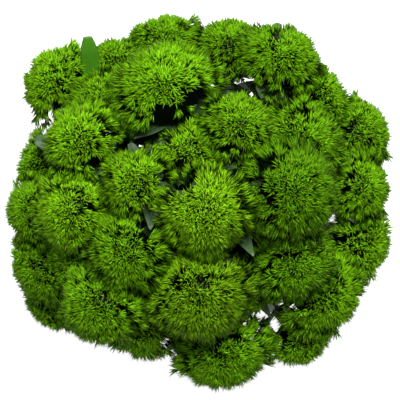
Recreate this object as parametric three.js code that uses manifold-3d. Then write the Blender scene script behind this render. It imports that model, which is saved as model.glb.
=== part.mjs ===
// A round hand-tied bunch of green sweet william (Dianthus barbatus), standing on its cut stems.
//
// Each leafy stem carries one or two heads: domes of needle-like green bracts that stand out of a
// small core. The stems are laid in a spiral, so they cross at one waist, where twine binds them,
// and spread again below it into a ring of level cut ends that the bunch stands on.
// Millimetres, +Z up. The origin is the cut end of the middle stem, on the surface below.

import * as THREE from 'three';
import { ConvexGeometry } from 'three/addons/geometries/ConvexGeometry.js';
import { mergeVertices } from 'three/addons/utils/BufferGeometryUtils.js';
import Module from 'manifold-3d';

const wasm = await Module();
wasm.setup();

// Driving dimensions
const TIE_HEIGHT = 105; // from the cut ends to the middle of the twine
const SPIRAL_TWIST = 0.06; // sideways travel of a stem, per millimetre up and per millimetre from the axis
const STEM_RADIUS = 1.9;
const MIDDLE_STEM_RADIUS = 3; // the stoutest stem, under the top head
const STEM_SIDES = 6;
const STEM_PITCH = 4.75; // between neighbouring stems at the waist
const DOME_RIM_HEIGHT = 230; // of the outer heads' middles
const DOME_RISE = 90; // from there to the top head's middle
const DOME_REACH = 131; // from the axis to the outer heads' middles
const FACING_HEIGHT = 160; // the point on the axis that the heads turn away from
const PRESS = 0.86; // how near two heads are pushed, as a share of their radii together
const GAP = 0.3; // left between pieces that touch

// The heads, by place east and north of the axis and by radius, with how far each stands above (or
// is sunk below) the even dome. Each row is one stem, and two heads in a row share it at a fork.
const SPRAYS = [
  [{ east: 5, north: -9, radius: 33, lift: 10 }],
  [{ east: 31, north: 59, radius: 28, lift: 14 }, { east: 66, north: 118, radius: 33, lift: 10 }],
  [{ east: -50, north: 15, radius: 27, lift: 8 }, { east: -102, north: -7, radius: 33, lift: 4 }],
  [{ east: -26, north: 90, radius: 41, lift: 14 }, { east: -31, north: 132, radius: 32, lift: -12 }],
  [{ east: -8, north: 38, radius: 26, lift: -12 }],
  [{ east: -97, north: 44, radius: 32, lift: 10 }, { east: -133, north: 30, radius: 27, lift: -12 }],
  [{ east: -58, north: -43, radius: 31, lift: 4 }, { east: -97, north: -49, radius: 28, lift: -4 }],
  [{ east: 1, north: -77, radius: 38, lift: 8 }, { east: 19, north: -127, radius: 38, lift: -6 }],
  [{ east: 73, north: 5, radius: 38, lift: 0 }, { east: 136, north: 7, radius: 29, lift: 0 }],
  [{ east: 86, north: 47, radius: 34, lift: 0 }, { east: 136, north: 58, radius: 32, lift: 0 }],
  [{ east: 74, north: -47, radius: 33, lift: 4 }, { east: 132, north: -41, radius: 32, lift: 0 }],
  [{ east: 43, north: -22, radius: 25, lift: -20 }],
  [{ east: 43, north: -72, radius: 24, lift: -20 }, { east: 88, north: -120, radius: 27, lift: -8 }],
  [{ east: 109, north: -73, radius: 36, lift: -8 }],
  [{ east: -72, north: 115, radius: 26, lift: 0 }, { east: -80, north: 82, radius: 27, lift: -6 }],
  [{ east: -120, north: 101, radius: 33, lift: 16 }],
  [{ east: 29, north: 129, radius: 30, lift: 0 }],
  [{ east: 100, north: 88, radius: 29, lift: -6 }],
  [{ east: -50, north: -104, radius: 33, lift: 0 }, { east: -98, north: -102, radius: 23, lift: -24 }],
  [{ east: -79, north: -84, radius: 34, lift: 6 }, { east: -128, north: -88, radius: 29, lift: -16 }],
  [{ east: -131, north: -56, radius: 32, lift: 4 }, { east: -138, north: -11, radius: 29, lift: 0 }],
];

// Leaves that show between the heads, by the tip's place, the width, and the spray that each is on.
// Rounded ones are broad almost to the tip, and those with an arch of their own bend over at the top.
const SHOWN_LEAVES = [
  { spray: 15, east: -94, north: 138, height: 254, width: 18, rounded: true },
  { spray: 15, east: -94, north: 84, height: 264, width: 10 },
  { spray: 1, east: 69, north: 153, height: 224, width: 13, rounded: true },
  { spray: 5, east: -139, north: 51, height: 252, width: 18, rounded: true },
  { spray: 5, east: -129, north: 40, height: 262, width: 9, rounded: true },
  { spray: 5, east: -81, north: 23, height: 296, width: 11 },
  { spray: 2, east: -57, north: 47, height: 284, width: 11, rounded: true },
  { spray: 3, east: -2, north: 78, height: 294, width: 12 },
  { spray: 4, east: -18, north: 11, height: 316, width: 18, arch: 12 },
  { spray: 4, east: 30, north: 26, height: 318, width: 12 },
  { spray: 2, east: -39, north: -24, height: 318, width: 20, arch: 12 },
  { spray: 11, east: 44, north: -45, height: 316, width: 18, arch: 12 },
  { spray: 6, east: -99, north: -47, height: 284, width: 10 },
  { spray: 7, east: -29, north: -130, height: 240, width: 12 },
  { spray: 7, east: -16, north: -148, height: 226, width: 12, rounded: true },
  { spray: 12, east: 62, north: -101, height: 240, width: 12 },
  { spray: 17, east: 72, north: 88, height: 256, width: 12 },
  { spray: 8, east: 134, north: -20, height: 240, width: 9 },
];

// Random draws that come out the same each time
function seededDraws(seed) {
  let state = seed;
  return () => {
    state = (state + 0x6d2b79f5) | 0;
    let mixed = Math.imul(state ^ (state >>> 15), 1 | state);
    mixed = (mixed + Math.imul(mixed ^ (mixed >>> 7), 61 | mixed)) ^ mixed;
    return ((mixed ^ (mixed >>> 14)) >>> 0) / 4294967296;
  };
}

const MERGE_DISTANCE = 1e-3; // corners nearer than this are one corner

function solidFrom(geometry) {
  const bare = geometry.clone();
  bare.deleteAttribute('normal');
  bare.deleteAttribute('uv');
  const merged = mergeVertices(bare, MERGE_DISTANCE);
  return new wasm.Manifold(
    new wasm.Mesh({
      numProp: 3,
      vertProperties: new Float32Array(merged.attributes.position.array),
      triVerts: new Uint32Array(merged.index.array),
    }),
  );
}

function geometryFrom(solid) {
  const { numProp, numVert, vertProperties, triVerts } = solid.getMesh();
  const positions = new Float32Array(numVert * 3);
  for (let k = 0; k < numVert; k += 1) {
    positions.set(vertProperties.subarray(k * numProp, k * numProp + 3), k * 3);
  }
  return new THREE.BufferGeometry()
    .setAttribute('position', new THREE.BufferAttribute(positions, 3))
    .setIndex(new THREE.BufferAttribute(new Uint32Array(triVerts), 1));
}

const largestBody = (solid) =>
  solid.decompose().reduce((best, body) => (body.volume() > best.volume() ? body : best));

// A closed solid through rings of points, each with the same count and right-handed about the way ahead.
// Its quads are split alike on both faces of a blade, so that thin edges don't cross.
function loft(rings) {
  const count = rings[0].length;
  const last = rings.length - 1;
  const at = (ring, k) => ring * count + (k % count);
  const index = [];
  for (let ring = 0; ring < last; ring += 1) {
    for (let k = 0; k < count; k += 1) {
      const corners = [at(ring, k), at(ring, k + 1), at(ring + 1, k + 1), at(ring + 1, k)];
      const [a, b, c, d] = k % 2 ? [...corners.slice(1), corners[0]] : corners;
      index.push(a, b, c, a, c, d);
    }
  }
  for (let k = 1; k + 1 < count; k += 1) {
    index.push(at(0, 0), at(0, k + 1), at(0, k));
    index.push(at(last, 0), at(last, k), at(last, k + 1));
  }
  const positions = rings.flat().flatMap((point) => [point.x, point.y, point.z]);
  return new THREE.BufferGeometry()
    .setAttribute('position', new THREE.Float32BufferAttribute(positions, 3))
    .setIndex(index);
}

// Where the heads sit: on the dome, then pushed apart, mostly up and down, until they only press
const SETTLE_ROUNDS = 80;
const SIDEWAYS_SHARE = 0.05;

function domeHeight(east, north) {
  const share = Math.hypot(east, north) / DOME_REACH;
  return DOME_RIM_HEIGHT + DOME_RISE * Math.cos((Math.PI / 2) * share);
}

function settle(heads) {
  for (let round = 0; round < SETTLE_ROUNDS; round += 1) {
    heads.forEach((a, i) =>
      heads.slice(i + 1).forEach((b) => {
        const apart = b.middle.clone().sub(a.middle);
        const short = PRESS * (a.radius + b.radius) - apart.length();
        if (short <= 0) return;
        const push = apart.multiply(new THREE.Vector3(SIDEWAYS_SHARE, SIDEWAYS_SHARE, 1));
        push.setLength(short / 2);
        b.middle.add(push);
        a.middle.sub(push);
      }),
    );
  }
}

const heads = SPRAYS.flatMap((spray, stem) =>
  spray.map(({ east, north, radius, lift }) => ({
    stem,
    radius,
    middle: new THREE.Vector3(east, north, domeHeight(east, north) + lift),
  })),
);
settle(heads);
heads.forEach((head, i) => {
  head.name = `head_${String(i + 1).padStart(2, '0')}`;
  head.facing = head.middle.clone().sub(new THREE.Vector3(0, 0, FACING_HEIGHT)).normalize();
});

// A head: a dome of tufts round a core, with a bare underside that narrows to the stem's end
const CORE_POINTS = 41;
const CORE_SHARE = 0.55; // the core's radius, as a share of the head's
const SEAT_SHARE = 0.68; // from the head's middle down to the stem's end
const ROOT_SHARE = 0.45; // from the head's middle down to the point that the bracts spread from
const SEAT_RADIUS = 2.6;
const SHORTEST_TUFT = 0.88; // as a share of the head's radius
const TUFT_SWAY = 0.09; // sideways, as a share of the head's radius
const UNDERSIDE_ANGLE = 1.98; // from the top of the head to where the tufts end, in radians
const SHORTEST_PRESSED = 0.2; // a tuft that neighbours press under this share of its length is left out
const STRETCH = 1.3; // how far, in radii, tufts at the rim reach across a gap to meet a neighbour
const FACES_NEIGHBOUR = 0.25; // cosine: a tuft turned further from a neighbour doesn't reach for it

function corePoints(radius) {
  const golden = Math.PI * (3 - Math.sqrt(5));
  const core = Array.from({ length: CORE_POINTS }, (_, k) => {
    const up = 1 - (2 * k + 1) / CORE_POINTS;
    const out = Math.sqrt(1 - up * up);
    return new THREE.Vector3(out * Math.cos(golden * k), out * Math.sin(golden * k), up)
      .multiplyScalar(CORE_SHARE * radius);
  });
  const seatCentre = new THREE.Vector3(0, 0, -SEAT_SHARE * radius);
  const seat = ringRound(seatCentre, new THREE.Vector3(0, 0, 1), SEAT_RADIUS);
  return [...core, ...seat];
}

// The planes where a head meets its neighbours, in the head's own frame
function pressPlanes(head) {
  const turnBack = turnOf(head).invert();
  return heads
    .filter((other) => other !== head)
    .map((other) => ({ other, apart: other.middle.clone().sub(head.middle) }))
    .filter(({ other, apart }) => apart.length() < STRETCH * (head.radius + other.radius))
    .map(({ other, apart }) => {
      const distance = apart.length();
      const share = (distance ** 2 + head.radius ** 2 - other.radius ** 2) / (2 * distance);
      return { normal: apart.normalize().applyQuaternion(turnBack), reach: share - GAP / 2 };
    });
}

const turnOf = (head) =>
  new THREE.Quaternion().setFromUnitVectors(new THREE.Vector3(0, 0, 1), head.facing);

// How much longer than the head's radius a tuft is, so that heads close the gaps between them: it
// ends where it meets the neighbour, and falls back to the radius where the gap is wide
function stretchTowards(way, radius, planes) {
  const rooms = planes
    .filter(({ normal }) => way.dot(normal) > FACES_NEIGHBOUR)
    .map(({ normal, reach }) => reach / way.dot(normal) / radius);
  const room = Math.min(...rooms);
  return Math.max(1, Math.min(room, 2 * STRETCH - room));
}

// A tuft's tip over one face of the core, or nothing where the head is bare
function tuftTip(middle, radius, planes, draw) {
  const root = new THREE.Vector3(0, 0, -ROOT_SHARE * radius);
  const sway = new THREE.Vector3(draw() - 0.5, draw() - 0.5, draw() - 0.5).multiplyScalar(2 * TUFT_SWAY);
  const way = middle.clone().sub(root).normalize().add(sway).normalize();
  const tipRadius = radius * (SHORTEST_TUFT + (1 - SHORTEST_TUFT) * draw());
  const along = root.dot(way);
  const reachTo = (distance) => -along + Math.sqrt(along ** 2 + distance ** 2 - root.lengthSq());
  const tip = root.clone().addScaledVector(way, reachTo(tipRadius));
  const stretch = stretchTowards(tip.clone().normalize(), radius, planes);
  tip.copy(root).addScaledVector(way, reachTo(tipRadius * stretch));
  if (tip.angleTo(new THREE.Vector3(0, 0, 1)) > UNDERSIDE_ANGLE) return null;
  let share = 1;
  planes.forEach(({ normal, reach: limit }) => {
    const from = middle.dot(normal);
    const to = tip.dot(normal);
    if (to > limit) share = Math.min(share, (limit - from) / (to - from));
  });
  return share < SHORTEST_PRESSED ? null : middle.clone().lerp(tip, share);
}

function headSolid(head, draw) {
  const planes = pressPlanes(head);
  const core = new ConvexGeometry(corePoints(head.radius)).attributes.position;
  const seatLine = -(SEAT_SHARE + CORE_SHARE) * 0.5 * head.radius;
  const corners = [];
  for (let k = 0; k < core.count; k += 3) {
    const face = [0, 1, 2].map((n) => new THREE.Vector3().fromBufferAttribute(core, k + n));
    const middle = face[0].clone().add(face[1]).add(face[2]).divideScalar(3);
    const onSeat = face.some((corner) => corner.z < seatLine);
    const tip = onSeat ? null : tuftTip(middle, head.radius, planes, draw);
    if (tip) face.forEach((corner, n) => corners.push(corner, face[(n + 1) % 3], tip));
    else corners.push(...face);
  }
  const geometry = new THREE.BufferGeometry().setFromPoints(corners);
  return planes.reduce(
    (left, { normal, reach }) => left.trimByPlane(normal.clone().negate().toArray(), -reach),
    solidFrom(geometry),
  );
}

// Rings round a line, for stems
function ringRound(centre, way, radius, sides = STEM_SIDES) {
  const east = new THREE.Vector3(1, 0, 0).addScaledVector(way, -way.x).normalize();
  const north = way.clone().cross(east);
  return Array.from({ length: sides }, (_, k) => {
    const angle = (2 * Math.PI * k) / sides;
    return centre
      .clone()
      .addScaledVector(east, radius * Math.cos(angle))
      .addScaledVector(north, radius * Math.sin(angle));
  });
}

// The waist: one stem in the middle and two rings round it, in the order of the heads they carry
const RING_COUNTS = [1, 7, 13];
const ringRadius = (count) => (count > 1 ? STEM_PITCH / (2 * Math.sin(Math.PI / count)) : 0);

// A stem's place at the waist, turned and spread as the spiral carries it to another height
function spiralPoint(waist, height) {
  const travel = SPIRAL_TWIST * (height - TIE_HEIGHT);
  return new THREE.Vector3(waist.x - travel * waist.y, waist.y + travel * waist.x, height);
}

// The turn that the spiral gives a stem between the waist and a height far above it
const spiralTurn = (height) => Math.atan(SPIRAL_TWIST * (height - TIE_HEIGHT));

function waistPlaces(stems) {
  const byReach = [...stems].sort((a, b) => a.aim.length() - b.aim.length());
  RING_COUNTS.forEach((count) => {
    const ring = byReach.splice(0, count).sort((a, b) => a.aim.angle() - b.aim.angle());
    const step = (2 * Math.PI) / count;
    const drift = ring.reduce((sum, stem, k) => sum + stem.aim.angle() - k * step, 0) / count;
    ring.forEach((stem, k) => {
      const angle = drift + k * step;
      stem.waist = new THREE.Vector2(Math.cos(angle), Math.sin(angle)).multiplyScalar(ringRadius(count));
      stem.radius = count === 1 ? MIDDLE_STEM_RADIUS : STEM_RADIUS;
    });
  });
}

const stems = SPRAYS.map((spray, i) => {
  const carried = heads.filter((head) => head.stem === i);
  const aim = new THREE.Vector3();
  carried.forEach((head) => aim.addScaledVector(head.middle, 1 / carried.length));
  return {
    name: `leafy_stem_${String(i + 1).padStart(2, '0')}`,
    carried,
    aim: new THREE.Vector2(aim.x, aim.y).rotateAround(new THREE.Vector2(), -spiralTurn(aim.z)),
  };
});
waistPlaces(stems);

// A stem's line: straight through the waist, then curving up to the end that carries the head
const STRAIGHT_TOP = TIE_HEIGHT + 14;
const BELOW_CUT = 4; // the stems are made this much too long, then cut level
const LOW_JOINT = 42;
const FORK_AT = 0.52; // along the curve
const UPPER_JOINT_AT = 0.76;
const JOINT_SWELL = 1.35;
const JOINT_HALF = 3.5;
const UPPER_STATIONS = [[0.25, 1], [0.78, 0.95], [1, 0.9]]; // along the curve, share of the radius
const BRANCH_STATIONS = [0, 0.4, 0.75, 1];
const BRANCH_RADIUS = 1.7;

const seatOf = (head) =>
  head.middle.clone().addScaledVector(head.facing, -(SEAT_SHARE * head.radius + GAP));

function curveTo(from, way, head) {
  const end = seatOf(head);
  const pull = from.distanceTo(end) / 3;
  return new THREE.CubicBezierCurve3(
    from,
    from.clone().addScaledVector(way, pull),
    end.clone().addScaledVector(head.facing, -pull),
    end,
  );
}

function traceStem(stem) {
  const low = spiralPoint(stem.waist, 0);
  const top = spiralPoint(stem.waist, STRAIGHT_TOP);
  const way = top.clone().sub(low).normalize();
  const [first, second] = stem.carried;
  stem.way = way;
  stem.upper = curveTo(top, way, first);
  const jointShares = second ? [FORK_AT] : [FORK_AT, UPPER_JOINT_AT];
  stem.joints = jointShares.map((share) => ({
    at: stem.upper.getPointAt(share),
    way: stem.upper.getTangentAt(share),
  }));
  if (!second) return;
  const { at: fork, way: forkWay } = stem.joints[0];
  const branchWay = seatOf(second).sub(fork).normalize().add(forkWay).normalize();
  stem.branch = curveTo(fork, branchWay, second);
}
stems.forEach(traceStem);

function stemSolid(stem, extra = 0) {
  const rings = [];
  const add = (centre, way, radius) => rings.push(ringRound(centre, way, radius + extra));
  const lowPoint = (height) => spiralPoint(stem.waist, height);
  add(lowPoint(-BELOW_CUT), stem.way, stem.radius);
  add(lowPoint(LOW_JOINT - JOINT_HALF), stem.way, stem.radius);
  add(lowPoint(LOW_JOINT), stem.way, stem.radius * JOINT_SWELL);
  add(lowPoint(LOW_JOINT + JOINT_HALF), stem.way, stem.radius);
  add(lowPoint(STRAIGHT_TOP), stem.way, stem.radius);
  const upper = stem.upper;
  const half = JOINT_HALF / upper.getLength();
  const fork = [[FORK_AT - half, 1], [FORK_AT, JOINT_SWELL], [FORK_AT + half, 1]];
  const [low, ...high] = UPPER_STATIONS;
  const stations = [low, ...fork, ...high];
  stations.forEach(([at, share]) => add(upper.getPointAt(at), upper.getTangentAt(at), stem.radius * share));
  let solid = solidFrom(loft(rings));
  if (stem.branch) {
    const branch = BRANCH_STATIONS.map((at) =>
      ringRound(stem.branch.getPointAt(at), stem.branch.getTangentAt(at), BRANCH_RADIUS + extra),
    );
    solid = solid.add(solidFrom(loft(branch)));
  }
  return solid.trimByPlane([0, 0, 1], 0);
}

// A leaf: a narrow channelled blade from its base to its tip, arched towards its upper face. With
// extra, the space that its neighbours leave for it, whose channel is filled.
const LEAF_THICKNESS = 1.2; // at the midrib, down to an edge
const LEAF_OUTLINE = [[0, 0.3], [0.45, 1], [1, 0.08]]; // along, share of the width
const SHOWN_OUTLINE = [[0, 0.3], [0.3, 0.85], [0.55, 1], [0.8, 0.68], [1, 0.08]];
const ROUNDED_OUTLINE = [[0, 0.3], [0.35, 0.9], [0.65, 1], [0.88, 0.86], [1, 0.4]];
const LEAF_ROOT = 0.9; // how far past the middle of the stem a blade begins
const LEAF_CHANNEL = 0.14; // the middle's depth below the edges, as a share of the width

function leafSolid({ base: root, tip, upper, arch, width, outline = LEAF_OUTLINE }, extra = 0) {
  const along = tip.clone().sub(root);
  const base = root.clone().addScaledVector(along.clone().normalize(), -LEAF_ROOT);
  const side = along.clone().cross(upper).normalize();
  const face = side.clone().cross(along).normalize();
  const bend = base.clone().lerp(tip, 0.5).addScaledVector(face, 2 * arch);
  const line = new THREE.QuadraticBezierCurve3(base, bend, tip);
  const half = LEAF_THICKNESS / 2 + extra;
  const rings = outline.map(([at, share]) => {
    const centre = line.getPoint(at);
    const way = line.getTangent(at);
    const up = side.clone().cross(way).normalize();
    const reach = (width * share) / 2 + extra;
    const place = (out, lift) => centre.clone().addScaledVector(side, out).addScaledVector(up, lift);
    const sunk = -LEAF_CHANNEL * width * share;
    const crest = extra ? half : sunk + half;
    return [place(0, crest), place(reach, 0), place(0, sunk - half), place(-reach, 0)];
  });
  return solidFrom(loft(rings));
}

const boxesMeet = (a, b) => {
  const [p, q] = [a.boundingBox(), b.boundingBox()];
  return [0, 1, 2].every((k) => p.min[k] < q.max[k] && q.min[k] < p.max[k]);
};
const meets = (a, b) => boxesMeet(a, b) && a.intersect(b).volume() > 0;

// The leaves that show from above stand up between the heads, whose bracts they press aside
const SHOWN_ARCH = 5;
const SHOWN_BASE_AT = 0.86; // along the stem

function shownLeaf({ spray, east, north, height, width, rounded, arch = SHOWN_ARCH }) {
  const stem = stems[spray];
  const tip = new THREE.Vector3(east, north, height);
  const lines = stem.branch ? [stem.upper, stem.branch] : [stem.upper];
  const [line] = lines.sort((a, b) => a.getPoint(1).distanceTo(tip) - b.getPoint(1).distanceTo(tip));
  return {
    stem,
    base: line.getPointAt(SHOWN_BASE_AT),
    tip,
    upper: new THREE.Vector3(0, 0, 1),
    arch,
    width,
    outline: rounded ? ROUNDED_OUTLINE : SHOWN_OUTLINE,
  };
}

// The other leaves grow in pairs at the joints, each pair square to the next, where they are clear
// of everything else
const PAIR_LENGTH = 54;
const PAIR_WIDTH = 12;
const PAIR_ARCH = 7;
const PAIR_RISE = 0.45; // up the stem, per unit sideways
const PAIR_TRIES = 18;

function jointLeaf({ at, way }, angle) {
  const [out] = ringRound(new THREE.Vector3(), way, 1).map((p) => p.applyAxisAngle(way, angle));
  const chord = out.addScaledVector(way, PAIR_RISE).setLength(PAIR_LENGTH);
  return { base: at.clone(), tip: at.clone().add(chord), upper: way, arch: PAIR_ARCH, width: PAIR_WIDTH };
}

// The twine: turns side by side round the waist, a knot in front and its two ends
const TWINE_TURNS = 4;
const TWINE_THICKNESS = 2.4;
const TWINE_SIDES = 5;
const TWINE_CREST = 1.2 * TWINE_THICKNESS; // from the stems out to the middle of a turn
const TWINE_VALLEY = 0.55 * TWINE_THICKNESS; // and to the groove between two turns
const BAND_HALF = (TWINE_TURNS * TWINE_THICKNESS) / 2;
const BAND_SIDES = 16;
const KNOT_OUT = 1.6 * TWINE_THICKNESS;
const KNOT_SIZE = new THREE.Vector3(4.6, 3.2, 3.8);
const END_DROP = 24;
const END_UNEVEN = 4; // one end hangs lower than the middle by this, the other higher
const END_SPREAD = 9;
const END_BEND = new THREE.Vector2(6, 2); // out and down from the knot
const END_OUT = 8;
const END_STATIONS = [0, 0.4, 0.7, 1];

const bundleRadius = (offset) =>
  ringRadius(RING_COUNTS.at(-1)) * Math.hypot(1, SPIRAL_TWIST * offset) + STEM_RADIUS;

function twineBand() {
  const profilePoint = (offset, out) => new THREE.Vector2(bundleRadius(offset) + out, TIE_HEIGHT + offset);
  const inside = [-BAND_HALF, 0, BAND_HALF].map((offset) => profilePoint(offset, GAP));
  const outside = [];
  for (let turn = TWINE_TURNS - 1; turn >= 0; turn -= 1) {
    const crest = (turn + 0.5) * TWINE_THICKNESS - BAND_HALF;
    outside.push(profilePoint(crest + TWINE_THICKNESS / 2, TWINE_VALLEY), profilePoint(crest, TWINE_CREST));
  }
  outside.push(profilePoint(-BAND_HALF, TWINE_VALLEY));
  const profile = [...inside, ...outside, inside[0].clone()].reverse();
  return solidFrom(new THREE.LatheGeometry(profile, BAND_SIDES).rotateX(Math.PI / 2));
}

function twineSolid() {
  const knotPlace = new THREE.Vector3(0, -(bundleRadius(0) + KNOT_OUT), TIE_HEIGHT);
  const knot = new THREE.IcosahedronGeometry(1, 1).scale(...KNOT_SIZE.toArray());
  knot.translate(...knotPlace.toArray());
  const ends = [-1, 1].map((side) => {
    const fromKnot = (out, down) => knotPlace.clone().add(new THREE.Vector3(side * END_SPREAD, -out, -down));
    const tip = fromKnot(END_OUT, END_DROP - side * END_UNEVEN);
    const line = new THREE.QuadraticBezierCurve3(knotPlace.clone(), fromKnot(END_BEND.x, END_BEND.y), tip);
    const rings = END_STATIONS.map((at) =>
      ringRound(line.getPoint(at), line.getTangent(at), TWINE_THICKNESS / 2, TWINE_SIDES),
    );
    return solidFrom(loft(rings));
  });
  return [solidFrom(knot), ...ends].reduce((whole, piece) => whole.add(piece), twineBand());
}

// Putting the bunch together
const SEED = 20;
const draw = seededDraws(SEED);
const CLEAR = GAP + 0.1; // a little more than the gap, where a blade's margin is sharp

const toWorld = (head) =>
  new THREE.Matrix4().compose(head.middle, turnOf(head), new THREE.Vector3(1, 1, 1));

heads.forEach((head) => {
  head.solid = headSolid(head, draw).transform(toWorld(head).toArray());
});
stems.forEach((stem) => {
  stem.solid = stemSolid(stem);
  stem.clearance = stemSolid(stem, CLEAR);
});
const twine = twineSolid();

const shown = SHOWN_LEAVES.map(shownLeaf);
shown.forEach((leaf) => {
  leaf.solid = leafSolid(leaf);
  leaf.clearance = leafSolid(leaf, CLEAR);
});

// Heads give way to the leaves that stand between them and to other heads' stems
heads.forEach((head) => {
  const cutters = [
    ...shown.map((leaf) => leaf.clearance),
    ...stems.filter((stem, i) => i !== head.stem).map((stem) => stem.clearance),
  ].filter((cutter) => meets(head.solid, cutter));
  head.solid = cutters.reduce((left, cutter) => left.subtract(cutter), head.solid);
  head.solid = largestBody(head.solid);
});
shown.forEach(({ stem, solid }) => {
  stem.solid = stem.solid.add(solid);
});

function isClear(solid, owner) {
  const others = [...heads, ...stems.filter((stem) => stem !== owner)];
  return !others.some((other) => meets(solid, other.solid)) && !meets(solid, twine);
}

// One leaf of a pair, at the clear place nearest to its own side of the stem
function growLeaf(stem, joint, side) {
  const step = Math.PI / PAIR_TRIES;
  for (let k = 0; k < PAIR_TRIES; k += 1) {
    const turn = side + (k % 2 ? -1 : 1) * Math.ceil(k / 2) * step;
    const leaf = jointLeaf(joint, turn);
    if (isClear(leafSolid(leaf, CLEAR), stem)) {
      stem.solid = stem.solid.add(leafSolid(leaf));
      return;
    }
  }
}

stems.forEach((stem) =>
  stem.joints.forEach((joint, k) => {
    const square = (k * Math.PI) / 2;
    growLeaf(stem, joint, square);
    growLeaf(stem, joint, square + Math.PI);
  }),
);

// Materials and the finished group
const headMaterial = () =>
  new THREE.MeshStandardMaterial({ color: 0x6fae22, roughness: 0.7, metalness: 0 });
const stemMaterial = () =>
  new THREE.MeshStandardMaterial({ color: 0x3f6f3c, roughness: 0.6, metalness: 0 });
const twineMaterial = () =>
  new THREE.MeshStandardMaterial({ color: 0xb99a68, roughness: 0.9, metalness: 0 });

const SMALLEST_EDGE = 0.02; // slivers under this are closed up
const bunch = new THREE.Group();

function addMesh(name, solid, material, placed = new THREE.Matrix4()) {
  const tidy = largestBody(solid.simplify(SMALLEST_EDGE));
  const geometry = geometryFrom(tidy.transform(placed.clone().invert().toArray()));
  const mesh = new THREE.Mesh(geometry, material);
  mesh.name = name;
  mesh.applyMatrix4(placed);
  bunch.add(mesh);
}

heads.forEach((head) => addMesh(head.name, head.solid, headMaterial(), toWorld(head)));
stems.forEach((stem) => addMesh(stem.name, stem.solid, stemMaterial()));
addMesh('twine_binding', twine, twineMaterial());

export default bunch;
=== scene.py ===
import math
import random

import bmesh
import bpy
import numpy as np
from mathutils import Matrix, Vector
from mathutils.bvhtree import BVHTree


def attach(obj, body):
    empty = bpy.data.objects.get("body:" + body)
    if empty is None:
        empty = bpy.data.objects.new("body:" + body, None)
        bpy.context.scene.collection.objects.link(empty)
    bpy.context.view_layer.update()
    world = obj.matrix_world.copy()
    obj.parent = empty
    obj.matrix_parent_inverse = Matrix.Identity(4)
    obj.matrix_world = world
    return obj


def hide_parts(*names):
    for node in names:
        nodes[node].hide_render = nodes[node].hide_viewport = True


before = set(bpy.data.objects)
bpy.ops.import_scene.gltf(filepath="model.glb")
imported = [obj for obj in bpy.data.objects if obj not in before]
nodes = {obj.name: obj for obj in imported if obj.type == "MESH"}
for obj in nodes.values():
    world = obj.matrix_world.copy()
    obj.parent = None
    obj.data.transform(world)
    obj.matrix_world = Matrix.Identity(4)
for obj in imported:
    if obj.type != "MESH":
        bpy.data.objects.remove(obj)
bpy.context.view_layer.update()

scene = bpy.context.scene

# Camera
# It looks straight down on the dome from 1.3 m above the outer heads. At their height the picture is
# 344 mm wide, and the bunch stands a hair left of its middle.
PICTURE_WIDTH = 0.344
RIM_HEIGHT = 0.230
CAMERA_ABOVE_RIM = 1.300
CAMERA_EAST = 0.0009
SENSOR_WIDTH = 0.036

camera_data = bpy.data.cameras.new("camera")
camera_data.sensor_width = SENSOR_WIDTH * 1000
camera_data.lens = camera_data.sensor_width * CAMERA_ABOVE_RIM / PICTURE_WIDTH
camera_data.clip_end = 20
camera = bpy.data.objects.new("camera", camera_data)
camera.location = (CAMERA_EAST, 0.0, RIM_HEIGHT + CAMERA_ABOVE_RIM)
scene.collection.objects.link(camera)
scene.camera = camera

# Floor and light
# A bright white table under a large soft light overhead, a little towards the picture's top, in a white
# room that is dim below the table's height. The table comes out nearly white, but throws no light up
# under the dome, so the gaps between the heads stay dark.
scene.view_settings.view_transform = "Standard"
ROOM_LIGHT = 0.34
ROOM_TONES = [(0.0, (0.20, 0.20, 0.20)), (0.08, (1.0, 1.0, 1.0))]  # from the horizon upwards
LAMP_PLACE = Vector((0.10, 0.75, 2.0))
LAMP_AIM = Vector((0, 0, 0.25))
LAMP_WIDTH = 0.7
LAMP_WATTS = 44
TABLE_TONE = 0.93
TABLE_GLOW = 0.8
TABLE_REACH = 12.0


def colour_ramp(tree, source, stops):
    """A colour that follows a value, from stops of a place and a colour each."""
    node = tree.nodes.new("ShaderNodeValToRGB")
    elements = node.color_ramp.elements
    while len(elements) < len(stops):
        elements.new(0.5)
    for element, (place, colour) in zip(elements, stops):
        element.position = place
        element.color = (*colour, 1.0)
    tree.links.new(source, node.inputs["Fac"])
    return node.outputs["Color"]


world = bpy.data.worlds.new("room")
world.use_nodes = True
background = world.node_tree.nodes["Background"]
background.inputs["Strength"].default_value = ROOM_LIGHT
direction = world.node_tree.nodes.new("ShaderNodeTexCoord").outputs["Generated"]
parts = world.node_tree.nodes.new("ShaderNodeSeparateXYZ")
world.node_tree.links.new(direction, parts.inputs["Vector"])
room_colour = colour_ramp(world.node_tree, parts.outputs["Z"], ROOM_TONES)
world.node_tree.links.new(room_colour, background.inputs["Color"])
scene.world = world

lamp_data = bpy.data.lights.new("overhead_light", "AREA")
lamp_data.shape = "DISK"
lamp_data.size = LAMP_WIDTH
lamp_data.energy = LAMP_WATTS
lamp = bpy.data.objects.new("overhead_light", lamp_data)
lamp.location = LAMP_PLACE
lamp.rotation_euler = (LAMP_AIM - LAMP_PLACE).to_track_quat("-Z", "Y").to_euler()
scene.collection.objects.link(lamp)


def plain_material(name, roughness):
    material = bpy.data.materials.new(name)
    material.use_nodes = True
    shader = material.node_tree.nodes["Principled BSDF"]
    shader.inputs["Roughness"].default_value = roughness
    return material, shader


def finished_object(name, bm, material):
    mesh = bpy.data.meshes.new(name)
    bm.to_mesh(mesh)
    bm.free()
    mesh.materials.append(material)
    obj = bpy.data.objects.new(name, mesh)
    scene.collection.objects.link(obj)
    return obj


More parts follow.
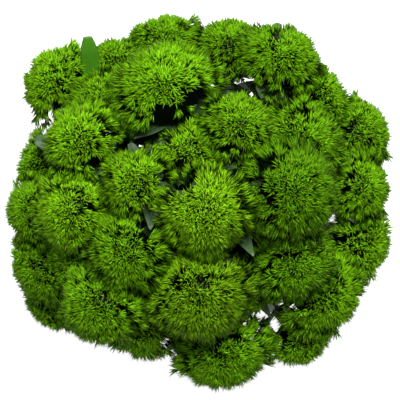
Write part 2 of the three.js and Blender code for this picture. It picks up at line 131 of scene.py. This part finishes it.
table_white, shader = plain_material("table_white", roughness=0.8)
shader.inputs["Base Color"].default_value = (TABLE_TONE, TABLE_TONE, TABLE_TONE, 1.0)
shader.inputs["Emission Color"].default_value = (1.0, 1.0, 1.0, 1.0)
shader.inputs["Emission Strength"].default_value = TABLE_GLOW
bm = bmesh.new()
bmesh.ops.create_grid(bm, x_segments=1, y_segments=1, size=TABLE_REACH)
table = finished_object("table", bm, table_white)
table.visible_diffuse = False

# Flower heads
# Green sweet william has no petals: a head is a dome of hundreds of soft green needles, the bracts.
# They fork in small tufts on short stalks, dark at the root and yellow-green at the tip. On the crown
# the tufts open into stars with dark holes between them, and round the rim they are combed outwards.
HEADS = sorted(name for name in nodes if name.startswith("head_"))
BRACT_PLACES = (0.0, 0.55, 0.9)  # along a tuft, where the three greens below lie
COOL_GREENS = ((0.001, 0.005, 0.0002), (0.007, 0.041, 0.0006), (0.170, 0.500, 0.004))
WARM_GREENS = ((0.002, 0.006, 0.0002), (0.015, 0.057, 0.0006), (0.330, 0.720, 0.008))
USUAL_TONE = (0.45, 0.95)
# The brightness is partly a head's own tone and partly painted light: head_29, which its neighbours' rims
# overhang, is brightened against their shade.
TONES = {  # how yellow a head is, and how bright
    "head_01": (0.95, 0.98),
    "head_02": (0.55, 0.94),
    "head_04": (0.65, 0.98),
    "head_05": (0.75, 1.04),
    "head_06": (0.50, 1.05),
    "head_08": (0.75, 0.95),
    "head_09": (0.60, 1.06),
    "head_11": (0.45, 0.88),
    "head_13": (1.00, 0.72),
    "head_14": (0.35, 0.92),
    "head_15": (0.30, 0.72),
    "head_17": (0.40, 0.95),
    "head_19": (0.30, 0.88),
    "head_20": (0.65, 1.00),
    "head_27": (0.60, 1.05),
    "head_29": (0.45, 1.10),
    "head_32": (0.45, 0.92),
    "head_34": (0.40, 0.92),
}


def attribute(tree, name):
    node = tree.nodes.new("ShaderNodeAttribute")
    node.attribute_name = name
    return node.outputs["Fac"]


def mixed(tree, blend_type, factor, below, above):
    """Two colours mixed. Each of them, and the factor, is an output or a constant."""
    node = tree.nodes.new("ShaderNodeMix")
    node.data_type = "RGBA"
    node.blend_type = blend_type
    sockets = (node.inputs["Factor"], node.inputs[6], node.inputs[7])
    for socket, value in zip(sockets, (factor, below, above)):
        if isinstance(value, bpy.types.NodeSocket):
            tree.links.new(value, socket)
        else:
            socket.default_value = value
    return node.outputs[2]


def bracts_material():
    material, shader = plain_material("green_bracts", roughness=0.55)
    tree = material.node_tree
    reach = attribute(tree, "reach")
    cool = colour_ramp(tree, reach, list(zip(BRACT_PLACES, COOL_GREENS)))
    warm = colour_ramp(tree, reach, list(zip(BRACT_PLACES, WARM_GREENS)))
    green = mixed(tree, "MIX", attribute(tree, "yellowness"), cool, warm)
    # times the brightness attribute: each bract's own tone at random and the head's tone, with painted
    # light on some heads and painted shade on the stalks in the middle
    shaded = mixed(tree, "MULTIPLY", factor=1.0, below=green, above=attribute(tree, "brightness"))
    tree.links.new(shaded, shader.inputs["Base Color"])
    shader.inputs["Specular IOR Level"].default_value = 0.06
    return material


green_bracts = bracts_material()

CAD_CORE_SHARE = 0.55  # of the CAD core's radius to the head's
SPHERE_TRIES = 600  # spheres that are tried through four points of a CAD head
ON_SPHERE = 0.00001  # how near a sphere the points are that count as on it


def measured_head(name):
    """The middle and radius of a head, from the sphere that the most vertices of its core lie on."""
    mesh = nodes[name].data
    points = np.empty(len(mesh.vertices) * 3)
    mesh.vertices.foreach_get("co", points)
    points = np.unique(points.reshape(-1, 3).round(6), axis=0)
    away = np.linalg.norm(points - points.mean(axis=0), axis=1)
    inner = points[away <= np.median(away)]
    pick = np.random.default_rng(1)
    most, middle, core = 0, None, None
    for _ in range(SPHERE_TRIES):
        four = inner[pick.choice(len(inner), 4, replace=False)]
        terms = np.c_[2 * four, np.ones(4)]
        answer = np.linalg.lstsq(terms, (four**2).sum(axis=1), rcond=None)[0]
        radius = math.sqrt(abs(answer[3] + (answer[:3] ** 2).sum()))
        on_it = (abs(np.linalg.norm(points - answer[:3], axis=1) - radius) < ON_SPHERE).sum()
        if on_it > most:
            most, middle, core = on_it, answer[:3], radius
    return Vector(middle), core / CAD_CORE_SHARE


measures = {name: measured_head(name) for name in HEADS}

BRACT_FOOT = 0.3  # how far off its middle line a bract's foot lies, to its belly's corners
BRACT_BELLY = 0.60  # where along its length a bract is widest
BRACT_WIDTH = 0.0012
STALK_BRACT_WIDTH = 0.0013
BRACT_LENGTHS = (0.8, 1.05)
BRACT_BENDS = (-0.15, 0.22)  # how far a bract's tip bends outwards, to its length
BRACT_TONES = (0.65, 1.35)

TUFT_KINDS = 8
TUFT_SEED = 40
TUFT_LENGTH = 0.018
STALK_BRACTS = 5
STALK_LENGTH = 0.9  # of the stalk's bracts, to the tuft's
STALK_TURN = 2.4  # from one of them to the next, in radians
STALK_LEAN = 0.1  # the least lean of the stalk's bracts, in radians
STALK_LEAN_SHARE = 0.6  # of their widest lean to the arms'
CROWN_FORK = 0.42  # along a tuft, where its stalk opens into arms
RIM_FORK = 0.30
FORK_RADIUS = 0.0006
FORK_HEIGHTS = (-0.002, 0.001)
FORK_TONE = 0.40  # where on the way from the dark root to the bright tip the arms' colour starts
ARMS = 7
ARM_STRAY = 0.3  # of the angle from one arm to the next
ARM_SPREAD = 0.30  # of an arm's two bracts, to each side, in radians
STAR_LEAN = (0.50, 0.95)  # of the arms, in radians, where the tufts are open stars
CROWN_LEAN = (0.15, 0.60)  # where they are half open
RIM_LEAN = (0.08, 0.36)  # and round the rim
MIDDLE_BRACTS = 4
MIDDLE_LEAN = (0.05, 0.3)
MIDDLE_TURN = 2.1


def bract_mesh():
    """One needle, one long and one wide: four faces between its foot, its belly's two sides and its tip."""
    bm = bmesh.new()
    bm.verts.layers.float.new("reach")
    bm.verts.layers.float.new("brightness")
    bmesh.ops.create_cone(bm, cap_ends=True, segments=3, radius1=0.5, radius2=0.0, depth=1.0)
    bmesh.ops.translate(bm, vec=(0, 0, 0.5), verts=bm.verts)
    foot, *belly = sorted((v for v in bm.verts if v.co.z < 0.5), key=lambda v: -v.co.y)
    foot.co.xy *= BRACT_FOOT
    for v in belly:
        v.co.z = BRACT_BELLY
    mesh = bpy.data.meshes.new("bract")
    bm.to_mesh(mesh)
    bm.free()
    return mesh


bract = bract_mesh()


def add_bract(bm, foot, way, length, width, bend, root_tone, brightness):
    """One needle from its foot along a way, bending to its tip, whose colour starts from a root tone."""
    before = len(bm.verts)
    bm.from_mesh(bract)
    bm.verts.ensure_lookup_table()
    turn = way.to_track_quat("Z", "X").to_matrix()
    for v in bm.verts[before:]:
        along = v.co.z
        v[bm.verts.layers.float["reach"]] = root_tone + (1 - root_tone) * along
        v[bm.verts.layers.float["brightness"]] = brightness
        needle = Vector((width * v.co.x, width * v.co.y, along * length))
        v.co = foot + turn @ needle + bend * along**2


def leaning(angle, lean):
    """A way that leans out from straight up, towards an angle round it."""
    return Vector((math.cos(angle) * math.sin(lean), math.sin(angle) * math.sin(lean), math.cos(lean)))


def tuft_mesh(kind, leans, fork_at):
    """A tuft that stands up from the origin: a stalk of bracts, forked arms and a few in the middle."""
    draw = random.Random(TUFT_SEED + kind)
    bm = bmesh.new()
    bm.verts.layers.float.new("reach")
    bm.verts.layers.float.new("brightness")

    def bract_at(foot, angle, lean, length, width, root_tone):
        way = leaning(angle, lean)
        bend = leaning(angle, math.pi / 2) * length * draw.uniform(*BRACT_BENDS)
        length *= draw.uniform(*BRACT_LENGTHS)
        add_bract(bm, foot, way, length, width, bend, root_tone, draw.uniform(*BRACT_TONES))

    for k in range(STALK_BRACTS):
        lean = draw.uniform(STALK_LEAN, STALK_LEAN_SHARE * leans[1])
        bract_at(Vector(), STALK_TURN * k, lean, STALK_LENGTH * TUFT_LENGTH, STALK_BRACT_WIDTH, 0.0)
    fork = Vector((0, 0, fork_at * TUFT_LENGTH))
    above = (1 - fork_at) * TUFT_LENGTH
    for k in range(ARMS):
        angle = 2 * math.pi * (k + draw.uniform(-ARM_STRAY, ARM_STRAY)) / ARMS
        lean = draw.uniform(*leans)
        height = Vector((0, 0, draw.uniform(*FORK_HEIGHTS)))
        foot = fork + leaning(angle, math.pi / 2) * FORK_RADIUS + height
        for side in (-1, 1):
            bract_at(foot, angle + side * ARM_SPREAD / lean, lean, above, BRACT_WIDTH, FORK_TONE)
    for k in range(MIDDLE_BRACTS):
        bract_at(fork, MIDDLE_TURN * k, draw.uniform(*MIDDLE_LEAN), above, BRACT_WIDTH, FORK_TONE)
    mesh = bpy.data.meshes.new(f"tuft_{kind}")
    bm.to_mesh(mesh)
    bm.free()
    return mesh


star_tufts = [tuft_mesh(kind, STAR_LEAN, CROWN_FORK) for kind in range(TUFT_KINDS)]
crown_tufts = [tuft_mesh(kind, CROWN_LEAN, CROWN_FORK) for kind in range(TUFT_KINDS)]
rim_tufts = [tuft_mesh(kind, RIM_LEAN, RIM_FORK) for kind in range(TUFT_KINDS)]

STARRY_HEADS = ("head_01", "head_20")  # whose tufts have opened furthest
FOCUS = Vector((0, 0, 0.160))  # the heads turn away from this point on the bunch's axis
TUFT_SPACING = 0.0067  # the side of the square that each tuft has on a head's surface
ANGLE_STRAY = 0.12  # of a tuft round its head, in radians
TIP_REACHES = (0.87, 1.04)  # of the tufts' tips from a head's middle, in radii
TUFT_LENGTHS = (0.95, 1.1)
TUFT_STRAY = 0.25  # how far a tuft leans out of line
COMB = 1.12  # of a tuft's lean to that of the radius that it stands on
USUAL_RADIUS = 0.030  # of a head whose tufts have the usual length
RIM_FLARE = 0.10  # how much wider a head is at its rim than its height
CROWN_FROM = 0.35  # cosine of the angle from the top down to which tufts stand open
CROWN_STRAY = 0.2  # of that cosine from tuft to tuft
BARE_BELOW = -0.62  # cosine of the angle from the top where the tufts end
BELOW_RIM = 0.6  # how much shorter a tuft at the very foot of a head would be
OVERHANG = 0.005  # how far the higher of two heads that press reaches over the lower one
UNDERHANG = -0.001  # and how far the lower one stays back from the plane where they meet
STRETCH = 1.3  # how far, in radii, the rims reach across a gap to meet a neighbour
FACES_NEIGHBOUR = 0.25  # cosine: a tuft turned further from a neighbour doesn't reach for it
FLATTEST = 0.3  # the least cosine, from a tuft to the way to a neighbour, that its cut reckons with
LEAF_ROOM = 0.0012  # between a tuft and the stem or leaf that it would run into
SHORTEST = 0.35  # of a tuft that is still worth making, to the usual length
TINY = 0.001
HALF_WAY_REACH = 0.8  # of an open place's reach, within which no tuft has its middle
OPEN_PLACES = [  # east, north and reach of the gaps and leaves that the bracts leave in view
    (-0.042, 0.048, 0.007),
    (-0.033, 0.054, 0.008),
    (-0.024, 0.062, 0.008),
    (-0.012, 0.069, 0.007),
    (-0.002, 0.077, 0.008),
    (0.004, 0.083, 0.007),
    (0.020, 0.101, 0.005),
    (0.074, 0.088, 0.007),
    (0.089, 0.069, 0.006),
    (0.116, 0.062, 0.006),
    (0.038, 0.017, 0.006),
    (0.057, -0.090, 0.007),
    (-0.014, 0.021, 0.014),
    (-0.019, 0.010, 0.007),
    (-0.040, -0.018, 0.010),
    (0.036, -0.037, 0.010),
    (-0.131, 0.050, 0.011),
    (-0.079, 0.022, 0.008),
    (-0.055, 0.042, 0.006),
    (-0.098, -0.046, 0.005),
    (-0.024, -0.127, 0.006),
    (0.066, 0.147, 0.009),
    (0.060, -0.099, 0.006),
    (0.027, 0.026, 0.006),
]


def stem_surface():
    """All the stems and leaves as one surface, which the bracts of the heads stay clear of."""
    corners, faces = [], []
    for name, obj in nodes.items():
        if name.startswith("leafy_stem_"):
            first = len(corners)
            corners += [v.co.copy() for v in obj.data.vertices]
            faces += [[first + i for i in face.vertices] for face in obj.data.polygons]
    return BVHTree.FromPolygons(corners, faces)


stems_and_leaves = stem_surface()


def pressed_planes(name):
    """The planes where a head meets its neighbours."""
    middle, radius = measures[name]
    planes = []
    for other, (other_middle, other_radius) in measures.items():
        apart = other_middle - middle
        if other != name and apart.length < STRETCH * (radius + other_radius):
            share = (apart.length_squared + radius**2 - other_radius**2) / (2 * apart.length)
            planes.append((apart.normalized(), share + (OVERHANG if apart.z < 0 else UNDERHANG)))
    return planes


def stretch_towards(spot, radius, planes):
    """How much further than the radius a tuft reaches, so that heads close the gaps between them."""
    rooms = [
        limit / spot.dot(normal) / radius
        for normal, limit in planes
        if spot.dot(normal) > FACES_NEIGHBOUR
    ]
    room = min(rooms, default=math.inf)
    return max(1.0, min(room, 2 * STRETCH - room))


def hides_a_gap(tip, half_way):
    """Whether a tuft would hide a gap between the heads, or a leaf that shows there."""
    for east, north, reach in OPEN_PLACES:
        gap = Vector((east, north))
        if (tip.xy - gap).length < reach or (half_way.xy - gap).length < HALF_WAY_REACH * reach:
            return True
    return False


def length_with_room(length, middle, tip, foot, way, planes):
    """A tuft's length, cut back where it would press into a neighbour or run into a stem or leaf."""
    for normal, limit in planes:
        over = (tip - middle).dot(normal) - limit
        if over > 0:
            length -= over / max(way.dot(normal), FLATTEST)
    hit = stems_and_leaves.ray_cast(foot, way, max(length, TINY))
    if hit[3] is not None:
        length = min(length, hit[3] - LEAF_ROOM)
    return length


def place_tuft(bm, kinds, foot, way, length, draw):
    """Adds one of some kinds of tufts, turned at random round its own line."""
    size = length / TUFT_LENGTH
    across = max(1.0, size)
    turn = way.to_track_quat("Z", "X").to_matrix().to_4x4()
    spin = Matrix.Rotation(draw.uniform(0, 2 * math.pi), 4, "Z")
    tuft = kinds[draw.randrange(TUFT_KINDS)].copy()
    tuft.transform(Matrix.Translation(foot) @ turn @ spin @ Matrix.Diagonal((across, across, size, 1)))
    bm.from_mesh(tuft)
    bpy.data.meshes.remove(tuft)


def add_tufts(bm, name, draw):
    """The tufts of a head, laid out in a spiral from its top down."""
    middle, radius = measures[name]
    facing = (middle - FOCUS).normalized()
    upright = facing.to_track_quat("Z", "X").to_matrix()
    planes = pressed_planes(name)
    opened_tufts = star_tufts if name in STARRY_HEADS else crown_tufts
    tufts_all_round = round(4 * math.pi * (radius / TUFT_SPACING) ** 2)
    for k in range(tufts_all_round):
        up = 1 - (2 * k + 1) / tufts_all_round
        if up < BARE_BELOW:
            break
        angle = math.pi * (3 - math.sqrt(5)) * k + draw.uniform(-ANGLE_STRAY, ANGLE_STRAY)
        out = math.sqrt(1 - up * up)
        spot = upright @ Vector((out * math.cos(angle), out * math.sin(angle), up))
        flare = 1 + RIM_FLARE * (1 - up * up)
        flare *= stretch_towards(spot, radius, planes)
        tip = middle + spot * radius * flare * draw.uniform(*TIP_REACHES)
        tilt = math.acos(max(-1.0, min(1.0, up))) * COMB
        sideways = (spot - facing * up).normalized()
        stray = Vector((draw.uniform(-1, 1), draw.uniform(-1, 1), draw.uniform(-1, 1))) * TUFT_STRAY
        way = (facing * math.cos(tilt) + sideways * math.sin(tilt) + stray).normalized()
        on_crown = up > CROWN_FROM + draw.uniform(-CROWN_STRAY, CROWN_STRAY)
        length = TUFT_LENGTH * (radius / USUAL_RADIUS) ** 0.5 * draw.uniform(*TUFT_LENGTHS)
        length *= 1.0 + min(0.0, BELOW_RIM * up)
        foot = tip - way * length
        length = length_with_room(length, middle, tip, foot, way, planes)
        too_short = length < SHORTEST * TUFT_LENGTH
        if too_short or spot.z > 0 and hides_a_gap(tip, foot + way * length / 2):
            continue
        place_tuft(bm, opened_tufts if on_crown else rim_tufts, foot, way, length, draw)


STALKS_RADIUS = 0.66  # of the close stalks in a head's middle, to the head's
# the stalks in the middle are darkened to this share: painted shade, so that where they show they read as
# dark holes
STALKS_PAINTED_SHADE = 0.8
STEM_END = 0.67  # how far below a head's middle its stem ends, in radii
STEM_END_RADIUS = 0.0026


def add_core(bm, name):
    """The close green stalks in the middle of the head, drawn together to the stem's end."""
    middle, radius = measures[name]
    facing = (middle - FOCUS).normalized()
    place = Matrix.Translation(middle) @ facing.to_track_quat("Z", "X").to_matrix().to_4x4()
    seat = place @ Matrix.Translation((0, 0, -STEM_END * radius))
    ball = bmesh.ops.create_icosphere(bm, subdivisions=3, radius=STALKS_RADIUS * radius, matrix=place)
    ring = bmesh.ops.create_circle(bm, segments=12, radius=STEM_END_RADIUS, matrix=seat)
    hull = bmesh.ops.convex_hull(bm, input=ball["verts"] + ring["verts"])
    inside = [e for e in hull["geom_interior"] + hull["geom_unused"] if isinstance(e, bmesh.types.BMVert)]
    bmesh.ops.delete(bm, geom=inside, context="VERTS")


def flower_head(name):
    draw = random.Random(name)
    yellowness, brightness = TONES.get(name, USUAL_TONE)
    bm = bmesh.new()
    reach = bm.verts.layers.float.new("reach")
    shade = bm.verts.layers.float.new("brightness")
    add_core(bm, name)
    # The stalks in the middle take the darkest root green and a lower brightness: painted shade, so they
    # read as dark holes.
    for v in bm.verts:
        v[reach] = 0.0
        v[shade] = STALKS_PAINTED_SHADE
    add_tufts(bm, name, draw)
    yellow = bm.verts.layers.float.new("yellowness")
    for v in bm.verts:
        v[yellow] = yellowness
        v[shade] *= brightness
    for face in bm.faces:
        face.smooth = True
    head = finished_object(f"flower_{name}", bm, green_bracts)
    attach(head, "root")
    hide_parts(name)


for name in HEADS:
    flower_head(name)
for spare in (bract, *star_tufts, *crown_tufts, *rim_tufts):
    bpy.data.meshes.remove(spare)

# Leafy stems
# Cut stems with swollen joints and pairs of narrow leaves, grown as one piece. The leaves are bluish
# green with a satin bloom and a paler midrib, and the stems are paler, smooth and round.
STEM_GREEN = (0.24, 0.40, 0.12)
MIDRIB_GREEN = (0.120, 0.200, 0.090)
BLADE_GREEN = (0.055, 0.110, 0.040)
MARGIN_GREEN = (0.070, 0.135, 0.050)
YOUNG_GREEN = (0.060, 0.230, 0.004)
MIDRIB_REACH = 0.16  # from the midrib towards the margin, where its paler green ends
VEIN_RIPPLE = 40.0  # radians of a wave from the midrib to the margin
FRESH = {"leafy_stem_16": 0.9, "leafy_stem_08": 0.6}  # stems whose leaves are younger, and yellower
WELD = 1e-5
SHARP = math.radians(75)  # margins of leaves and rims of cut ends
CUT_END = 0.005  # the height below which a sharp edge is a cut end's
BLADE_THICKNESS = 0.0019  # a wall thinner than this is leaf, a thicker one is stem
ROUNDING = 2


def noise(tree, place, scale, detail):
    node = tree.nodes.new("ShaderNodeTexNoise")
    node.inputs["Scale"].default_value = scale
    node.inputs["Detail"].default_value = detail
    tree.links.new(place, node.inputs["Vector"])
    return node.outputs["Fac"]


def add_relief(tree, shader, height, strength, distance):
    node = tree.nodes.new("ShaderNodeBump")
    node.inputs["Strength"].default_value = strength
    node.inputs["Distance"].default_value = distance
    tree.links.new(height, node.inputs["Height"])
    tree.links.new(node.outputs["Normal"], shader.inputs["Normal"])


def leaf_material(name, shade, gloss):
    """Blades and stems. A shade below 1 darkens every green as painted shade, for the leaves under the
    heads.
    """
    material, shader = plain_material(name, roughness=0.42)
    tree = material.node_tree

    def shaded(colour):
        return tuple(channel * shade for channel in colour)

    margin = attribute(tree, "margin")
    stops = [(0.0, shaded(MIDRIB_GREEN)), (MIDRIB_REACH, shaded(BLADE_GREEN)), (1.0, shaded(MARGIN_GREEN))]
    grown = colour_ramp(tree, margin, stops)
    blade = mixed(tree, "MIX", attribute(tree, "fresh"), grown, (*shaded(YOUNG_GREEN), 1.0))
    whole = mixed(tree, "MIX", attribute(tree, "blade"), (*shaded(STEM_GREEN), 1.0), blade)
    place = tree.nodes.new("ShaderNodeTexCoord").outputs["Object"]
    clouds = noise(tree, place, scale=60, detail=3)
    mottled = mixed(tree, "OVERLAY", factor=0.45, below=whole, above=clouds)
    tree.links.new(mottled, shader.inputs["Base Color"])
    ripple = tree.nodes.new("ShaderNodeMath")
    ripple.operation = "MULTIPLY"
    ripple.inputs[1].default_value = VEIN_RIPPLE
    tree.links.new(margin, ripple.inputs[0])
    veins = tree.nodes.new("ShaderNodeMath")
    veins.operation = "SINE"
    tree.links.new(ripple.outputs[0], veins.inputs[0])
    add_relief(tree, shader, veins.outputs[0], strength=0.25, distance=0.0003)
    shader.inputs["Specular IOR Level"].default_value = gloss
    return material


leaf_green = leaf_material("blue_green_leaves", shade=1.0, gloss=0.35)


def leafy_stem(name):
    bm = bmesh.new()
    bm.from_mesh(nodes[name].data)
    bmesh.ops.remove_doubles(bm, verts=bm.verts, dist=WELD)
    bmesh.ops.join_triangles(
        bm, faces=bm.faces, angle_face_threshold=math.radians(40), angle_shape_threshold=math.radians(60)
    )
    bm.normal_update()
    walls = BVHTree.FromBMesh(bm)
    blade = bm.verts.layers.float.new("blade")
    margin = bm.verts.layers.float.new("margin")
    fresh = bm.verts.layers.float.new("fresh")
    crease = bm.edges.layers.float.new("crease_edge")
    for edge in bm.edges:
        if edge.calc_face_angle(0) > SHARP:
            edge[crease] = 1.0
            for v in edge.verts:
                v[margin] = 1.0
    for v in bm.verts:
        hit = walls.ray_cast(v.co - v.normal * WELD, -v.normal)
        thin = hit[3] is not None and hit[3] < BLADE_THICKNESS
        v[blade] = 1.0 if thin or v[margin] > 0 and v.co.z > CUT_END else 0.0
        v[fresh] = FRESH.get(name, 0.0)
    for face in bm.faces:
        face.smooth = True
    stem = finished_object(f"{name}_grown", bm, leaf_green)
    rounded = stem.modifiers.new("rounded", "SUBSURF")
    rounded.levels = ROUNDING
    rounded.render_levels = ROUNDING
    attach(stem, "root")
    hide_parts(name)


for name in sorted(nodes):
    if name.startswith("leafy_stem_"):
        leafy_stem(name)

# Collar leaves
# Under each head three whorls of leaves grow round the end of the stem: short ones close below the
# bracts, and longer and wider ones below those. They are the same blade as the leaves lower down, and
# they close the dome between the heads, where little light reaches them. Their greens are the leaves'
# own greens, darkened as painted shade.
WHORLS = [  # leaves, how far below the head's middle, length and width in radii of the head
    (8, 0.70, 1.20, 0.50),
    (4, 1.20, 1.70, 0.52),
    (5, 1.75, 2.20, 0.62),
]
TURN_STRAY = 0.2  # of the angle from one leaf to the next
UPWARD_LEANS = (0, 18)  # of a leaf from square to the stem, in degrees
LEAF_LENGTHS = (0.9, 1.1)
LEAF_WIDTHS = (0.8, 1.15)
TIP_RISES = (-0.05, 0.2)  # how far a leaf's tip bends up, to its length
INWARD_LONGER = 0.35  # how much longer, in radii, a leaf is that grows towards the bunch's middle
LEAF_FOOT = 0.001  # from the stem's middle line
BLADE_STEPS = 8
BLADE_BASE = 0.28  # width of a blade at its base, to its widest
SWELL_FROM = 0.12  # where on the arch of its width a blade starts
SWELL_SPAN = 0.92
SWELL_POWER = 0.8  # below 1, for fuller margins
POINT_AT = 1.02  # where the margins would meet, to the blade's length
POINT_TAPER = 5
BLADE_FOLD = 0.35  # how steeply the two halves of a blade rise from its midrib
BLADE_WALL = 0.0006
MEASURED_RISE = 0.35  # how steeply a leaf rises where its way is kept clear of the heads
LENGTH_STEP = 0.002
INSIDE_HEAD = 0.8  # a leaf ends where it comes this near a neighbour's middle, in radii
# the leaf greens darkened to 0.85 as painted shade, for the leaves in the dark under the heads
collar_green = leaf_material("shaded_leaves", shade=0.85, gloss=0.05)


def add_blade(bm, length, width, rise, place):
    """A lance-shaped blade along +Y from the origin, folded along its midrib, with +Z its upper face."""
    grid = bmesh.ops.create_grid(bm, x_segments=2, y_segments=BLADE_STEPS, size=0.5)["verts"]
    blade = bm.verts.layers.float["blade"]
    margin = bm.verts.layers.float["margin"]
    for v in grid:
        across = 2 * v.co.x
        along = v.co.y + 0.5
        swell = math.sin(math.pi * min(1.0, SWELL_FROM + SWELL_SPAN * along)) ** SWELL_POWER
        taper = min(1.0, (POINT_AT - along) * POINT_TAPER)
        half = 0.5 * width * (BLADE_BASE + (1 - BLADE_BASE) * swell) * taper
        v.co.x = across * half
        v.co.y = along * length
        v.co.z = BLADE_FOLD * abs(across) * half + rise * length * along**2
        v[blade] = 1.0
        v[margin] = abs(across)
    bmesh.ops.transform(bm, matrix=place, verts=grid)


def free_length(name, start, way, longest):
    """How far a leaf can reach before it runs into another head or lies over it."""
    length = LENGTH_STEP
    while length < longest:
        tip = start + way * length
        for other, (middle, radius) in measures.items():
            inside = (tip - middle).length < INSIDE_HEAD * radius
            above = (tip - middle).xy.length < radius and tip.z > middle.z
            if other != name and (inside or above):
                return length
        length += LENGTH_STEP
    return longest


def collar(name):
    middle, radius = measures[name]
    facing = (middle - FOCUS).normalized()
    draw = random.Random(f"collar {name}")
    upright = Matrix.Translation(middle) @ facing.to_track_quat("Z", "X").to_matrix().to_4x4()
    bm = bmesh.new()
    for layer in ("blade", "margin", "fresh"):
        bm.verts.layers.float.new(layer)
    for count, depth, long, wide in WHORLS:
        for k in range(count):
            stray = draw.uniform(-TURN_STRAY, TURN_STRAY)
            turn = Matrix.Rotation(2 * math.pi * (k + stray) / count, 4, "Z")
            lean = Matrix.Rotation(math.radians(draw.uniform(*UPWARD_LEANS)), 4, "X")
            place = upright @ turn @ Matrix.Translation((0, LEAF_FOOT, -depth * radius)) @ lean
            way = place.to_3x3().col[1] + place.to_3x3().col[2] * MEASURED_RISE
            inward = -way.xy.dot(middle.xy) / max(middle.xy.length, TINY)
            length = radius * (long + INWARD_LONGER * inward) * draw.uniform(*LEAF_LENGTHS)
            length = free_length(name, place.translation, way, length)
            width = wide * radius * draw.uniform(*LEAF_WIDTHS)
            add_blade(bm, length, width, draw.uniform(*TIP_RISES), place)
    for face in bm.faces:
        face.smooth = True
    leaves = finished_object(f"collar_leaves_{name[-2:]}", bm, collar_green)
    wall = leaves.modifiers.new("thickness", "SOLIDIFY")
    wall.thickness = BLADE_WALL
    wall.offset = 0.0
    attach(leaves, "root")


for name in HEADS:
    collar(name)

# Twine
# Coarse natural twine: three strands laid together, wound four times round the waist and tied in
# front in an overhand knot with two loose ends.
DARK_FIBRE = (0.46, 0.38, 0.22)
LIGHT_FIBRE = (0.90, 0.80, 0.56)
FIBRE_SCALE = (900.0, 8.0, 1.0)  # of the noise on the strands' surface
TWINE_HEIGHT = 0.105
TWINE_THICKNESS = 0.0024
TWINE_TURNS = 4
TWINE_ROOM = 0.0003  # between the twine and the stems
WAIST_RADIUS = 0.01182
STRAND_RADIUS = 0.00068
STRAND_OFFSET = 0.00060
LAY_LENGTH = 0.0062  # along the twine for one turn of its strands
STEP = 0.0009
FINE_STEPS = 2000
FIRST_SIDE = Vector((0.3, 0.5, 0.8))  # any way that no path starts along
KNOT_OUT = 1.6 * TWINE_THICKNESS  # from the waist to the knot's middle
KNOT_PLACE = Vector((0, -(WAIST_RADIUS + KNOT_OUT), TWINE_HEIGHT))
KNOT_SCALE = Vector((0.0012, 0.0014, 0.0010))  # for each unit of the knot's curve
END_BEND = Vector((0.009, -0.006, -0.002))  # from the knot, on its right side
END_TIP = Vector((0.009, -0.008, -0.024))
END_UNEVEN = 0.004  # how much higher the right end's tip lies, and how much lower the left's


def twine_material():
    material, shader = plain_material("natural_twine", roughness=0.9)
    tree = material.node_tree
    stretch = tree.nodes.new("ShaderNodeMapping")
    stretch.inputs["Scale"].default_value = FIBRE_SCALE
    tree.links.new(tree.nodes.new("ShaderNodeTexCoord").outputs["UV"], stretch.inputs["Vector"])
    fibres = noise(tree, stretch.outputs["Vector"], scale=1.0, detail=4)
    colour = colour_ramp(tree, fibres, [(0.3, DARK_FIBRE), (0.7, LIGHT_FIBRE)])
    tree.links.new(colour, shader.inputs["Base Color"])
    add_relief(tree, shader, fibres, strength=0.6, distance=0.0002)
    return material


def even_points(path, step):
    """Points a step apart along a path, which is a function of a share from 0 to 1."""
    fine = [path(k / FINE_STEPS) for k in range(FINE_STEPS + 1)]
    points, left = [fine[0]], 0.0
    for a, b in zip(fine, fine[1:]):
        left += (b - a).length
        if left >= step:
            points.append(b)
            left = 0.0
    return points


def lay_strands(curve, path):
    """Three strands that wind round a path."""
    points = even_points(path, STEP)
    side = FIRST_SIDE
    rings = []
    for k, point in enumerate(points):
        ahead = (points[min(k + 1, len(points) - 1)] - points[max(k - 1, 0)]).normalized()
        side = (side - ahead * side.dot(ahead)).normalized()
        rings.append((point, side.copy(), ahead.cross(side)))
    for strand in range(3):
        spline = curve.splines.new("POLY")
        spline.points.add(len(rings) - 1)
        for k, (point, first, second) in enumerate(rings):
            angle = 2 * math.pi * (k * STEP / LAY_LENGTH + strand / 3)
            place = point + STRAND_OFFSET * (first * math.cos(angle) + second * math.sin(angle))
            spline.points[k].co = (*place, 1.0)


def winding(share):
    angle = -math.pi / 2 + 2 * math.pi * TWINE_TURNS * share
    radius = WAIST_RADIUS + TWINE_ROOM + TWINE_THICKNESS / 2
    height = TWINE_HEIGHT + (share - 0.5) * (TWINE_TURNS - 1) * TWINE_THICKNESS
    return Vector((radius * math.cos(angle), radius * math.sin(angle), height))


def overhand_knot(share):
    turn = 2 * math.pi * share
    x = math.sin(turn) + 2 * math.sin(2 * turn)
    y = -math.sin(3 * turn)
    z = math.cos(turn) - 2 * math.cos(2 * turn)
    return KNOT_PLACE + Vector((x, y, z)) * KNOT_SCALE


def loose_end(side):
    mirror = Vector((side, 1, 1))
    bend = KNOT_PLACE + END_BEND * mirror
    tip = KNOT_PLACE + END_TIP * mirror + Vector((0, 0, side * END_UNEVEN))
    return lambda share: KNOT_PLACE * (1 - share) ** 2 + bend * 2 * share * (1 - share) + tip * share**2


curve = bpy.data.curves.new("twine_strands", "CURVE")
curve.dimensions = "3D"
curve.bevel_depth = STRAND_RADIUS
curve.bevel_resolution = 1
curve.use_fill_caps = True
lay_strands(curve, winding)
lay_strands(curve, overhand_knot)
for side in (-1, 1):
    lay_strands(curve, loose_end(side))
twine_curve = bpy.data.objects.new("twine_strands", curve)
scene.collection.objects.link(twine_curve)
twine_mesh = bpy.data.meshes.new_from_object(twine_curve)
bpy.data.objects.remove(twine_curve)
twine_mesh.materials.clear()
twine_mesh.materials.append(twine_material())
twine = bpy.data.objects.new("twine", twine_mesh)
scene.collection.objects.link(twine)
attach(twine, "root")
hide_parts("twine_binding")
